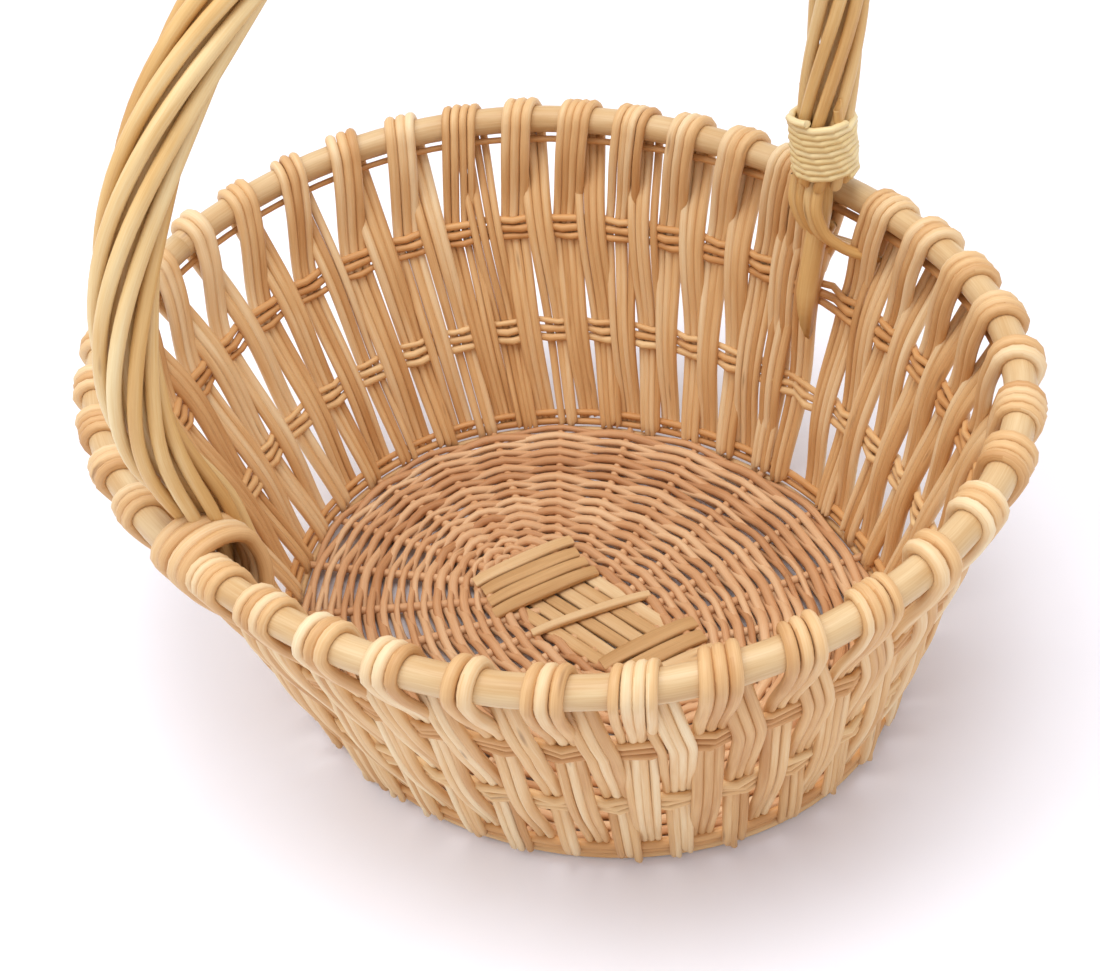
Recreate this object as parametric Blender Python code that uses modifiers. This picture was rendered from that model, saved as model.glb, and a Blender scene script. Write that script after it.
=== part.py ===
"""Oval willow fruit basket with a bow handle of rods twisted round a thick core.

Metres, +Z up. X is the basket's long axis and Y its short one. The origin is the
middle of the base, on the surface that the basket stands on. The wall is an open
weave: every group of stakes goes up to the hoop, over it and down again half a
pitch further round, and passes inside and outside the bands by turns.
"""
import math

import bmesh
import bpy
from mathutils import Matrix, Vector

# Overall sizes
RIM_LONG = 0.166             # hoop's centre line, half its length along X
RIM_SHORT = 0.135            # hoop's centre line, half its length along Y
RIM_HEIGHT = 0.127           # hoop's centre line above the table
RIM_SQUARENESS = 0.029       # how far the hoop's four corners swell past an ellipse
FOOT_LONG = 0.122            # middle of the wall at its foot, half its length
FOOT_SHORT = 0.0985
HANDLE_RISE = 0.2006         # top of the bow's middle above the hoop's
HANDLE_SKEW = math.radians(9.5)   # the bow stands a little off the short axis
FRONT_WIDE_RISE = 0.049      # the bow's front leg stands widest this far above the hoop
BACK_WIDE_RISE = 0.103
FRONT_WIDE_OUT = -0.0033     # how far out it stands there, from above the hoop
BACK_WIDE_OUT = 0.0047
LEAN_RISE = 0.0035           # the front leg is upright this far above the hoop
FRONT_LEAN = 0.75            # below 1, the front leg leans out soon above the hoop

# Rods and the pieces made of them
CLEARANCE = 0.0006           # between pieces that touch
HOOP_RADIUS = 0.0052
UNDER_RADIUS = 0.0017        # thin rod that runs under the hoop
STAKE_COUNT = 40             # groups of stakes
STAKE_SIDE_GAP = 0.0008      # between neighbouring legs at the foot of the wall
STAKE_THICK = 0.0032
STAKE_END = 0.0012           # cut ends of the stakes above the table
BAND_THICK = 0.0034
BAND_TALL = 0.0105           # three rods lying one on another
LOWER_BAND_Z = 0.045
UPPER_BAND_Z = 0.086
WALE_Z = 0.0062              # two heavier rods round the base
WALE_TALL = 0.008

# Base
BASE_THICK = 0.0062
BASE_RIDGE = 0.0008          # height of the weave's rounds
BASE_ROUNDS = 6
SLATH_THICK = 0.0026
SLATH_LONG = (0.112, 0.034)  # length and width of the sticks along X
SLATH_LONG_X = 0.006         # middle of each group along X
SLATH_CROSS = (0.044, 0.028)
SLATH_CROSS_A_X = -0.027
SLATH_CROSS_B_X = 0.040
SLATH_TURN = math.radians(72)     # the cross sticks don't lie square to the long ones

# Handle
CORE_RADIUS = 0.0055
STRAND_RADIUS = 0.0024
STRAND_COUNT = 8
STRAND_TURNS = 2.25
STRAND_STEPS = 44
CORE_STEPS = 52
BOW_STEPS = 60
LEAN_STEPS = 12
CORE_DIP = 0.039             # how far the core reaches down inside the wall
STRAND_LIFT = 0.004          # strands end this far above the stakes at the back foot
LASHING_LIFT = 0.002         # lashing starts this far above the strands' ends
LASHING_LENGTH = 0.020
LASHING_TURNS = 8
CANE_THICK = 0.0016

RING_STEPS = 72

CORE_COLOUR = (0.66, 0.40, 0.17)
PEELED = (0.80, 0.58, 0.29)
STAKE_COLOUR = (0.70, 0.42, 0.18)
BASE_COLOUR = (0.60, 0.35, 0.17)
SPLIT_COLOUR = (0.78, 0.55, 0.31)
CANE_COLOUR = (0.84, 0.64, 0.34)

WALL_COS = math.cos(math.atan2(RIM_LONG - FOOT_LONG, RIM_HEIGHT))
WEAVE_OFFSET = ((BAND_THICK + STAKE_THICK) / 2 + CLEARANCE) / WALL_COS
LEG_HALF = STAKE_THICK / 2 / WALL_COS
WRAP_RADIUS = HOOP_RADIUS + CLEARANCE + STAKE_THICK / 2
UNDER_Z = RIM_HEIGHT - HOOP_RADIUS - CLEARANCE - UNDER_RADIUS
UNDER_OFFSET = (UNDER_RADIUS + CLEARANCE) / WALL_COS + LEG_HALF
BUNDLE_RADIUS = CORE_RADIUS + CLEARANCE + 2 * STRAND_RADIUS


def clear_scene():
    for item in list(bpy.data.objects):
        bpy.data.objects.remove(item, do_unlink=True)


def willow(name, colour, roughness=0.55):
    mat = bpy.data.materials.new(name)
    mat.use_nodes = True
    shader = mat.node_tree.nodes["Principled BSDF"]
    shader.inputs["Base Color"].default_value = (*colour, 1.0)
    shader.inputs["Roughness"].default_value = roughness
    shader.inputs["Metallic"].default_value = 0.0
    return mat


def place(name, data, mat):
    """Link an object of the basket that carries its own material."""
    item = bpy.data.objects.new(name, data)
    data.materials.append(mat)
    basket.objects.link(item)
    return item


def tube(name, points, radius, mat, resolution=2, cyclic=False):
    """A rod through the points, with closed ends unless it is a ring."""
    curve = bpy.data.curves.new(name, "CURVE")
    curve.dimensions = "3D"
    curve.bevel_depth = radius
    curve.bevel_resolution = resolution
    curve.use_fill_caps = not cyclic
    spline = curve.splines.new("POLY")
    spline.points.add(len(points) - 1)
    for point, place_at in zip(spline.points, points):
        point.co = (*place_at, 1.0)
    spline.use_cyclic_u = cyclic
    return place(name, curve, mat)


# ---- the oval wall ----

def half_axes(z):
    """Half length, half width and corner swell of the wall's middle at a height."""
    up = min(z / RIM_HEIGHT, 1.0)
    long = FOOT_LONG + (RIM_LONG - FOOT_LONG) * up
    short = FOOT_SHORT + (RIM_SHORT - FOOT_SHORT) * up
    return long, short, RIM_SQUARENESS * up


def wall_point(turn, z, offset=0.0, along=0.0):
    """A point of the wall, offset outwards and moved along its tangent."""
    long, short, swell = half_axes(z)
    corner = 1 + swell * math.sin(2 * turn) ** 2
    out = Vector((math.cos(turn) / long, math.sin(turn) / short, 0)).normalized()
    tangent = Vector((-out.y, out.x, 0))
    middle = Vector((long * math.cos(turn), short * math.sin(turn), 0)) * corner
    return middle + out * offset + tangent * along + Vector((0, 0, z))


def arc_table(z, steps=720):
    """Running length of the wall's outline at a height, by turn angle."""
    lengths = [0.0]
    last = wall_point(0, z)
    for step in range(1, steps + 1):
        here = wall_point(2 * math.pi * step / steps, z)
        lengths.append(lengths[-1] + (here - last).length)
        last = here
    return lengths


def turn_at(share, table):
    """Turn angle at a share of the way round the outline."""
    whole, share = divmod(share, 1.0)
    length = share * table[-1]
    step = next(i for i in range(1, len(table)) if table[i] >= length)
    part = (length - table[step - 1]) / (table[step] - table[step - 1])
    return 2 * math.pi * (whole + (step - 1 + part) / (len(table) - 1))


def share_at(turn, table):
    """Share of the way round at a turn angle, the inverse of turn_at."""
    steps = turn / (2 * math.pi) * (len(table) - 1)
    low = int(steps)
    return (table[low] + (steps - low) * (table[low + 1] - table[low])) / table[-1]


def ring_points(z, offset=0.0):
    return [wall_point(2 * math.pi * i / RING_STEPS, z, offset) for i in range(RING_STEPS)]


def rod_band(name, z, tall, mat):
    """Rods lying one on another round the wall, as one strip with a thickness."""
    mesh = bpy.data.meshes.new(name)
    bm = bmesh.new()
    lower = bmesh.ops.create_circle(bm, segments=RING_STEPS, radius=1)["verts"]
    made = bmesh.ops.extrude_edge_only(bm, edges=bm.edges[:])["geom"]
    upper = [item for item in made if isinstance(item, bmesh.types.BMVert)]
    for verts, height in ((lower, z - tall / 2), (upper, z + tall / 2)):
        for vert in verts:
            vert.co = wall_point(math.atan2(vert.co.y, vert.co.x), height)
    bm.to_mesh(mesh)
    bm.free()
    item = place(name, mesh, mat)
    wall = item.modifiers.new("rod thickness", "SOLIDIFY")
    wall.thickness = BAND_THICK
    wall.offset = 0
    wall.use_even_offset = True
    return item


def make_rings():
    peeled = willow("peeled_hoop", PEELED, 0.45)
    brown = willow("band_rods", STAKE_COLOUR)
    tube("rim_hoop", ring_points(RIM_HEIGHT), HOOP_RADIUS, peeled, cyclic=True)
    tube("under_rim_rod", ring_points(UNDER_Z), UNDER_RADIUS, brown, 1, cyclic=True)
    rod_band("upper_band", UPPER_BAND_Z, BAND_TALL, brown)
    rod_band("lower_band", LOWER_BAND_Z, BAND_TALL, brown)
    rod_band("base_wale", WALE_Z, WALE_TALL, brown)


# ---- the stakes ----

def leg_stations(first):
    """Heights and offsets up one leg, from the foot to just under the hoop."""
    straight = (BAND_TALL + BAND_THICK) / 2
    sides = [(STAKE_END, first), (WALE_Z + (WALE_TALL + BAND_THICK) / 2, first)]
    for band, side in ((LOWER_BAND_Z, -first), (UPPER_BAND_Z, first)):
        sides.append((band - straight, side))
        sides.append((band + straight, side))
    leg = [(z, z, side * WEAVE_OFFSET) for z, side in sides]
    reach = UNDER_OFFSET if first > 0 else WRAP_RADIUS
    low = UNDER_Z - UNDER_RADIUS
    leg.append((low, low, -first * reach))
    return leg


def stake_stations():
    """One group from end to end: height, height of the wall outline that it keeps
    to, offset from that outline and share of the half pitch that it has moved."""
    path = [(*station, 0.0) for station in leg_stations(-1)]
    corner = WRAP_RADIUS / math.cos(math.pi / 8)
    for step in range(-1, 5):
        angle = math.pi * (2 * step + 1) / 8
        z = RIM_HEIGHT + corner * math.sin(angle)
        across = min(max(angle / math.pi, 0.0), 1.0)
        path.append((z, RIM_HEIGHT, corner * math.cos(angle), across))
    path += [(*station, 1.0) for station in reversed(leg_stations(1))]
    return path


def stake_group(name, share, width, table, mat):
    """Rods side by side that climb the wall, turn over the hoop and come down."""
    stations = stake_stations()
    mesh = bpy.data.meshes.new(name)
    bm = bmesh.new()
    bmesh.ops.create_grid(bm, x_segments=len(stations) - 1, y_segments=1, size=1)
    spacing = 2 / (len(stations) - 1)
    for vert in bm.verts:
        z, outline, offset, across = stations[round((vert.co.x + 1) / spacing)]
        turn = turn_at(share + across / (2 * STAKE_COUNT), table)
        vert.co = wall_point(turn, outline, offset, vert.co.y * width / 2)
        vert.co.z = z
    bm.to_mesh(mesh)
    bm.free()
    item = place(name, mesh, mat)
    rods = item.modifiers.new("rod thickness", "SOLIDIFY")
    rods.thickness = STAKE_THICK
    rods.offset = 0
    rods.use_even_offset = True
    return item


def make_stakes(foot_turn):
    """The groups stand evenly round the hoop, and one passes behind each foot."""
    brown = willow("stake_rods", STAKE_COLOUR)
    hoop = arc_table(RIM_HEIGHT)
    foot_pitch = arc_table(0.0)[-1] / STAKE_COUNT
    width = foot_pitch / 2 - STAKE_SIDE_GAP
    first = share_at(foot_turn, hoop)
    for count in range(STAKE_COUNT):
        name = f"stake_group_{count + 1:02d}"
        stake_group(name, first + count / STAKE_COUNT, width, hoop, brown)


# ---- the base ----

def base_weave():
    """Woven oval that fills the foot of the wall, flat underneath."""
    inset = WEAVE_OFFSET + LEG_HALF + CLEARANCE
    long = FOOT_LONG - inset
    short = FOOT_SHORT - inset
    profile = [(0.0, BASE_THICK - BASE_RIDGE)]
    for count in range(BASE_ROUNDS):
        profile.append((long * (count + 0.5) / BASE_ROUNDS, BASE_THICK))
        profile.append((long * (count + 1) / BASE_ROUNDS, BASE_THICK - BASE_RIDGE))
    profile += [(long, 0.0), (0.0, 0.0)]
    mesh = bpy.data.meshes.new("base_weave")
    edges = [(i, i + 1) for i in range(len(profile) - 1)]
    mesh.from_pydata([(r, 0, z) for r, z in profile], edges, [])
    item = place("base_weave", mesh, willow("base_weavers", BASE_COLOUR, 0.65))
    item.scale = (1, short / long, 1)
    turned = item.modifiers.new("turn", "SCREW")
    turned.steps = 40
    turned.render_steps = 40
    turned.use_merge_vertices = True
    turned.merge_threshold = 0.00001


def slath(name, size, x, z, turn):
    """Split sticks side by side at the middle of the base, as one thin plate."""
    mesh = bpy.data.meshes.new(name)
    bm = bmesh.new()
    bmesh.ops.create_cube(bm, size=1)
    bmesh.ops.scale(bm, vec=(size[0], size[1], SLATH_THICK), verts=bm.verts)
    bm.to_mesh(mesh)
    bm.free()
    item = place(name, mesh, willow(name + "_wood", SPLIT_COLOUR))
    item.location = (x, 0, z + SLATH_THICK / 2)
    item.rotation_euler = (0, 0, turn)
    edge = item.modifiers.new("worn edges", "BEVEL")
    edge.width = SLATH_THICK / 5
    edge.segments = 1


def make_base():
    base_weave()
    lower = BASE_THICK + CLEARANCE
    upper = lower + SLATH_THICK + CLEARANCE
    slath("slath_long_sticks", SLATH_LONG, SLATH_LONG_X, lower, 0)
    slath("slath_cross_sticks_a", SLATH_CROSS, SLATH_CROSS_A_X, upper, SLATH_TURN)
    slath("slath_cross_sticks_b", SLATH_CROSS, SLATH_CROSS_B_X, upper, SLATH_TURN)


# ---- the handle ----

def foot_angle():
    """Turn angle of the wall where the handle's plane crosses it at the back."""
    return math.atan2(math.cos(HANDLE_SKEW) / RIM_SHORT, math.sin(HANDLE_SKEW) / RIM_LONG)


def wall_reach(z):
    """Distance from the axis to the wall's middle in the handle's plane."""
    point = wall_point(foot_angle(), z)
    return math.hypot(point.x, point.y)


def bow_line():
    """Middle of the core: up inside the wall, over and down inside the other side.

    Each point is a distance along the handle's plane and a height. The front foot
    stands clear inside the stakes with its strands; at the back only the core goes
    down past the hoop, close beside it. Above the hoop the legs lean out as the wall
    does, and the bow between their widest places is half an ellipse, higher at the
    back.
    """
    top = RIM_HEIGHT
    leg = WEAVE_OFFSET + LEG_HALF + CLEARANCE
    front = wall_reach(top) - WRAP_RADIUS - STAKE_THICK / 2 - CLEARANCE - BUNDLE_RADIUS
    back = wall_reach(top) - HOOP_RADIUS - CLEARANCE - CORE_RADIUS
    front_wide = wall_reach(top) + FRONT_WIDE_OUT
    back_wide = wall_reach(top) + BACK_WIDE_OUT
    low = (top - CORE_DIP, top - CORE_DIP / 2)
    lean = FRONT_WIDE_RISE - LEAN_RISE
    line = [(-wall_reach(z) + leg + BUNDLE_RADIUS, z) for z in low] + [(-front, top)]
    for step in range(LEAN_STEPS):
        share = step / LEAN_STEPS
        out = front + (front_wide - front) * (1 - math.cos(math.pi * share ** FRONT_LEAN)) / 2
        line.append((-out, top + LEAN_RISE + lean * share))
    middle, half = (back_wide - front_wide) / 2, (back_wide + front_wide) / 2
    mean, tilt = (BACK_WIDE_RISE + FRONT_WIDE_RISE) / 2, (BACK_WIDE_RISE - FRONT_WIDE_RISE) / 2
    rise = math.sqrt((HANDLE_RISE - mean) ** 2 - tilt ** 2)
    for step in range(BOW_STEPS + 1):
        angle = math.pi * step / BOW_STEPS
        side = -math.cos(angle)
        line.append((middle + half * side, top + mean + tilt * side + rise * math.sin(angle)))
    for step in reversed(range(LEAN_STEPS)):
        share = step / LEAN_STEPS
        out = back + (back_wide - back) * (1 - math.cos(math.pi * share)) / 2
        line.append((out, top + BACK_WIDE_RISE * share))
    line += [(wall_reach(z) - leg - CORE_RADIUS, z) for z in reversed(low)]
    return line


def even_points(line, start, end, steps):
    """Points evenly spaced between two heights, going in on the front leg and out
    on the back one, with the direction of the line at each of them."""
    lengths = [0.0]
    for one, two in zip(line, line[1:]):
        lengths.append(lengths[-1] + math.dist(one, two))
    crest = max(range(len(line)), key=lambda i: line[i][1])

    def length_at(z, span):
        for i in span:
            low, high = sorted((line[i][1], line[i + 1][1]))
            if low <= z <= high:
                part = (z - line[i][1]) / (line[i + 1][1] - line[i][1])
                return lengths[i] + part * (lengths[i + 1] - lengths[i])
        return lengths[span[0]] if span[0] == 0 else lengths[-1]

    first = length_at(start, range(0, crest))
    last = length_at(end, range(crest, len(line) - 1))
    points = []
    for step in range(steps + 1):
        length = first + (last - first) * step / steps
        i = max(j for j in range(len(line) - 1) if lengths[j] <= length + 1e-9)
        part = (length - lengths[i]) / (lengths[i + 1] - lengths[i])
        w = line[i][0] + part * (line[i + 1][0] - line[i][0])
        z = line[i][1] + part * (line[i + 1][1] - line[i][1])
        points.append((w, z))
    result = []
    for step, (w, z) in enumerate(points):
        before = points[max(step - 1, 0)]
        after = points[min(step + 1, steps)]
        slope = Vector((after[0] - before[0], after[1] - before[1])).normalized()
        result.append((w, z, slope))
    return result


def in_plane(w, z):
    return Vector((w * math.sin(HANDLE_SKEW), w * math.cos(HANDLE_SKEW), z))


def make_handle():
    line = bow_line()
    side = in_plane(1, 0).cross(Vector((0, 0, 1)))
    core = even_points(line, line[0][1], line[-1][1], CORE_STEPS)
    tube("handle_core", [in_plane(w, z) for w, z, _ in core], CORE_RADIUS,
         willow("handle_core_rod", CORE_COLOUR))

    stakes_top = RIM_HEIGHT + WRAP_RADIUS + STAKE_THICK / 2
    back_end = stakes_top + STRAND_LIFT
    run = even_points(line, RIM_HEIGHT - CORE_DIP / 2, back_end, STRAND_STEPS)
    reach = CORE_RADIUS + CLEARANCE + STRAND_RADIUS
    rod = willow("handle_strands", PEELED, 0.5)
    for count in range(STRAND_COUNT):
        points = []
        for step, (w, z, slope) in enumerate(run):
            angle = 2 * math.pi * (count / STRAND_COUNT + STRAND_TURNS * step / STRAND_STEPS)
            normal = in_plane(-slope.y, slope.x)
            around = normal * math.cos(angle) + side * math.sin(angle)
            points.append(in_plane(w, z) + around * reach)
        tube(f"handle_strand_{count + 1}", points, STRAND_RADIUS, rod, 1)
    make_lashing(line, back_end + LASHING_LIFT, side)


def make_lashing(line, low, side):
    """Cane wound round the foot of the bundle at the back, as one ribbed sleeve."""
    ends = [even_points(line, line[0][1], z, 1)[1] for z in (low, low + LASHING_LENGTH)]
    lower, upper = (in_plane(w, z) for w, z, _ in ends)
    inner = BUNDLE_RADIUS + CLEARANCE
    half = LASHING_LENGTH / 2
    profile = [(inner, half)]
    for count in range(LASHING_TURNS):
        top = half - LASHING_LENGTH * count / LASHING_TURNS
        turn = LASHING_LENGTH / LASHING_TURNS
        profile.append((inner + CANE_THICK, top - turn * 0.3))
        profile.append((inner + CANE_THICK, top - turn * 0.7))
        if count < LASHING_TURNS - 1:
            profile.append((inner + CANE_THICK / 2, top - turn))
    profile.append((inner, -half))
    mesh = bpy.data.meshes.new("handle_lashing")
    count = len(profile)
    edges = [(i, (i + 1) % count) for i in range(count)]
    mesh.from_pydata([(r, 0, z) for r, z in profile], edges, [])
    item = place("handle_lashing", mesh, willow("lashing_cane", CANE_COLOUR, 0.4))
    up = (upper - lower).normalized()
    middle = (upper + lower) / 2
    across = side.cross(up)
    item.matrix_world = Matrix.Translation(middle) @ Matrix((side, -across, up)).transposed().to_4x4()
    turned = item.modifiers.new("turn", "SCREW")
    turned.steps = 20
    turned.render_steps = 20
    turned.use_merge_vertices = True
    turned.merge_threshold = 0.00001


clear_scene()
basket = bpy.data.collections.new("oval_fruit_basket")
bpy.context.scene.collection.children.link(basket)
make_rings()
make_stakes(foot_angle())
make_base()
make_handle()
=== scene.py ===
# %% [markdown]
# # An oval willow fruit basket, rod by rod
# A basket like this one is some two hundred willow rods, bent while they are wet.
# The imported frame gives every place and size: where the hoop runs, how wide the foot
# is, where the handle stands. This script loads it first and then makes the rods that
# people see around it, each one a straight blank that is bent along its own route.

# %% Load the frame
import math
import random

import bpy
import numpy as np
from mathutils import Matrix, Vector


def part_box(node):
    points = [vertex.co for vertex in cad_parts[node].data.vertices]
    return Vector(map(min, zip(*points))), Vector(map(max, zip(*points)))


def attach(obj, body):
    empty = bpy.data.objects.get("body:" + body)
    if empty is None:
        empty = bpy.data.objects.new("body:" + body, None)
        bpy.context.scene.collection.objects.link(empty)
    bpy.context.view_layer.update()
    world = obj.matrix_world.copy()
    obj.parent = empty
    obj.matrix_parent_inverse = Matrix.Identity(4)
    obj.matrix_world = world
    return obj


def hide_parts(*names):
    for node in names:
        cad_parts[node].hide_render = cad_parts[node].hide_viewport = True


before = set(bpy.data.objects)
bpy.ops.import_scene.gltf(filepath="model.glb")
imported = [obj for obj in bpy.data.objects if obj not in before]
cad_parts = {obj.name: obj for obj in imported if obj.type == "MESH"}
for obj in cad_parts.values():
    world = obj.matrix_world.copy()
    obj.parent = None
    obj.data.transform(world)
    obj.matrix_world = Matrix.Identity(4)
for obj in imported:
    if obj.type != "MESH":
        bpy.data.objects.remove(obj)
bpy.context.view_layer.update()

bpy.ops.object.select_all(action="DESELECT")
dice = random.Random(11)
print("nodes in the frame:", len(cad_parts))

# %% [markdown]
# ## Sizes read from the frame
# The hoop is the thick rod that the whole wall hangs on. Its box gives the rim's half
# length, half width and height. The box of the wale, the rods woven round the base,
# gives the same three for the foot, and the wall is straight between the two. Rod
# thicknesses are the maker's choice, so they are named here once.

# %% Measure the oval
HOOP_RADIUS = 0.0052
ROD_RADIUS = 0.0018          # a stake at the middle of its length
BAND_ROD_RADIUS = 0.0017
CORE_RADIUS = 0.0055
STRAND_RADIUS = 0.0024
CORNER_SWELL = 0.029         # the rim's corners stand this share outside an ellipse
GROUPS = 40


def middle_of(node):
    low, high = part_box(node)
    return (low + high) / 2


rim_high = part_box("rim_hoop")[1]
wale_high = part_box("base_wale")[1]
RIM_Z = middle_of("rim_hoop").z
RIM = (rim_high.x - HOOP_RADIUS, rim_high.y - HOOP_RADIUS)
WALE_Z = middle_of("base_wale").z
FOOT = (wale_high.x - BAND_ROD_RADIUS, wale_high.y - BAND_ROD_RADIUS)
LOWER_Z = middle_of("lower_band").z
UPPER_Z = middle_of("upper_band").z
print(f"rim {RIM[0] * 2000:.0f} x {RIM[1] * 2000:.0f} mm at {RIM_Z * 1000:.0f} mm")
print(f"foot {FOOT[0] * 2000:.0f} x {FOOT[1] * 2000:.0f} mm at {WALE_Z * 1000:.0f} mm")


# %% [markdown]
# ## Walking on the wall
# Nearly everything lies on the flaring oval wall, so one function turns wall
# coordinates into a point: the turn angle, the height, and how far out of the wall's
# middle surface. A second one spaces things evenly along the hoop, because equal
# angles on an oval give unequal gaps.

# %% Points of the wall
def wall(turn, z, out=0.0, outline=None):
    """A point of the wall. The outline's own height may differ, as above the rim."""
    up = min(((z if outline is None else outline) - WALE_Z) / (RIM_Z - WALE_Z), 1.0)
    long, short = (foot + (rim - foot) * up for foot, rim in zip(FOOT, RIM))
    corner = 1 + CORNER_SWELL * up * math.sin(2 * turn) ** 2
    normal = Vector((math.cos(turn) / long, math.sin(turn) / short, 0)).normalized()
    middle = Vector((long * math.cos(turn), short * math.sin(turn), 0)) * corner
    return middle + normal * out + Vector((0, 0, z))


turns = np.linspace(0, 2 * math.pi, 721)
outline = np.array([wall(t, RIM_Z) for t in turns])
walked = np.concatenate([[0], np.cumsum(np.linalg.norm(np.diff(outline, axis=0), axis=1))])
RIM_LENGTH = walked[-1]


def turn_at(share):
    """Turn angle at a share of the way round the hoop."""
    whole, part = divmod(share, 1.0)
    return float(np.interp(part * RIM_LENGTH, walked, turns)) + 2 * math.pi * whole


def share_at(turn):
    return float(np.interp(turn, turns, walked)) / RIM_LENGTH


print(f"the hoop is {RIM_LENGTH * 1000:.0f} mm round, {RIM_LENGTH * 1000 / GROUPS:.1f} mm a group")


# %% [markdown]
# ## One small helper for materials
# Colours are chosen as hex values, as in a paint program, and Blender calculates with
# linear light, so one function converts them. Another adds a shader node, sets what it
# is given and links what comes from other nodes.

# %% Colours and nodes
def colour(code):
    """The linear colour of an sRGB hex value."""
    parts = [int(code[i:i + 2], 16) / 255 for i in (1, 3, 5)]
    return tuple(c / 12.92 if c <= 0.04045 else ((c + 0.055) / 1.055) ** 2.4 for c in parts) + (1.0,)


def add(tree, kind, inputs=None, **settings):
    """Add a node. An input that is a (node, output) pair is linked, others are set."""
    made = tree.nodes.new("ShaderNode" + kind)
    for name, value in settings.items():
        setattr(made, name, value)
    for name, value in (inputs or {}).items():
        if isinstance(value, tuple) and isinstance(value[0], bpy.types.Node):
            tree.links.new(value[0].outputs[value[1]], made.inputs[name])
        else:
            made.inputs[name].default_value = value
    return made


# %% [markdown]
# ## Peeled willow
# Willow is boiled and peeled, which leaves a satin skin from cream to orange-tan.
# Three things tell the eye that it is willow and not plastic: every rod has its own
# tone, fine fibres run along it, and now and then there is a small dark bud scar. The
# pattern follows each rod, so it reads the rod's own UV map, which is in metres
# around and along, and the rod's own tone.

# %% The willow finish
FIBRE_WIDE = 0.00045         # fibres are finer than this, drawn coarse enough to show
FIBRE_LONG = 0.018
BLOTCH_WIDE = 0.006
BLOTCH_LONG = 0.045
SCAR_WIDE = 0.009
SCAR_EVERY = 0.055
TONE_SHARE = 0.34            # how much of a rod's colour is its own, a blotch's, a fibre's
BLOTCH_SHARE = 0.55
FIBRE_SHARE = 0.30


def willow(name, dark, mid, pale, roughness, bump=0.35):
    """Peeled willow: tones by rod, fibres and blotches along it, and bud scars."""
    mat = bpy.data.materials.new(name)
    mat.use_nodes = True
    tree = mat.node_tree
    shader = tree.nodes["Principled BSDF"]
    uv = add(tree, "UVMap", uv_map="UVMap")
    tone = add(tree, "Attribute", attribute_name="tone")
    far = add(tree, "Math", {0: (tone, "Fac"), 1: 53.0}, operation="MULTIPLY")
    own = add(tree, "CombineXYZ", {"Z": (far, 0)})
    fine = add(tree, "VectorMath", {0: (uv, "UV"), 1: (1 / FIBRE_WIDE, 1 / FIBRE_LONG, 1)},
               operation="MULTIPLY")
    fine_own = add(tree, "VectorMath", {0: (fine, 0), 1: (own, 0)}, operation="ADD")
    fibres = add(tree, "TexNoise", {"Vector": (fine_own, 0), "Scale": 1.0, "Detail": 3.0})
    wide = add(tree, "VectorMath", {0: (uv, "UV"), 1: (1 / BLOTCH_WIDE, 1 / BLOTCH_LONG, 1)},
               operation="MULTIPLY")
    wide_own = add(tree, "VectorMath", {0: (wide, 0), 1: (own, 0)}, operation="ADD")
    blotches = add(tree, "TexNoise", {"Vector": (wide_own, 0), "Scale": 1.0, "Detail": 2.0})
    tone_part = add(tree, "Math", {0: (tone, "Fac"), 1: TONE_SHARE}, operation="MULTIPLY")
    blotch_part = add(tree, "Math", {0: (blotches, "Fac"), 1: BLOTCH_SHARE, 2: (tone_part, 0)},
                      operation="MULTIPLY_ADD")
    fibre_part = add(tree, "Math", {0: (fibres, "Fac"), 1: FIBRE_SHARE, 2: (blotch_part, 0)},
                     operation="MULTIPLY_ADD")
    ramp = add(tree, "ValToRGB", {"Fac": (fibre_part, 0)})
    ramp.color_ramp.elements[0].position = 0.30
    ramp.color_ramp.elements[0].color = colour(dark)
    ramp.color_ramp.elements[1].position = 0.88
    ramp.color_ramp.elements[1].color = colour(pale)
    ramp.color_ramp.elements.new(0.58).color = colour(mid)
    spots = add(tree, "VectorMath", {0: (uv, "UV"), 1: (1 / SCAR_WIDE, 1 / SCAR_EVERY, 1)},
                operation="MULTIPLY")
    spots_own = add(tree, "VectorMath", {0: (spots, 0), 1: (own, 0)}, operation="ADD")
    scars = add(tree, "TexVoronoi", {"Vector": (spots_own, 0), "Scale": 1.0})
    scar = add(tree, "MapRange", {"Value": (scars, "Distance"), "From Min": 0.03,
                                  "From Max": 0.10, "To Min": 0.55, "To Max": 0.0})
    marked = add(tree, "Mix", {"Factor": (scar, 0), "A": (ramp, 0), "B": colour("#7A4A24")},
                 data_type="RGBA")
    tree.links.new(marked.outputs["Result"], shader.inputs["Base Color"])
    height = add(tree, "Math", {0: (fibres, "Fac"), 1: 0.7, 2: (blotches, "Fac")},
                 operation="MULTIPLY_ADD")
    relief = add(tree, "Bump", {"Height": (height, 0), "Strength": bump, "Distance": 0.0003})
    tree.links.new(relief.outputs[0], shader.inputs["Normal"])
    shine = add(tree, "MapRange", {"Value": (fibres, "Fac"), "To Min": roughness - 0.08,
                                   "To Max": roughness + 0.12})
    tree.links.new(shine.outputs[0], shader.inputs["Roughness"])
    shader.inputs["IOR"].default_value = 1.48
    return mat


# The hoop: a thick rod, even in colour, rubbed smooth enough for a soft shine.
HOOP_WILLOW = willow("peeled_willow_hoop", "#B08758", "#C7A06D", "#DFC497", 0.42, 0.25)
# The stakes: golden tan, each rod plainly different from the next.
STAKE_WILLOW = willow("peeled_willow_stakes", "#BC864E", "#DCB27C", "#EED7AE", 0.50)
# The band rods: thinner and browner, so the bands read as lines across the stakes.
BAND_WILLOW = willow("peeled_willow_bands", "#BB8046", "#D3A066", "#E6C38E", 0.50)
# The weavers: boiled in the bark, which leaves them pinkish and dull.
WEAVER_WILLOW = willow("boiled_willow_weavers", "#AE7648", "#D09F71", "#E6C297", 0.60)
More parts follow.
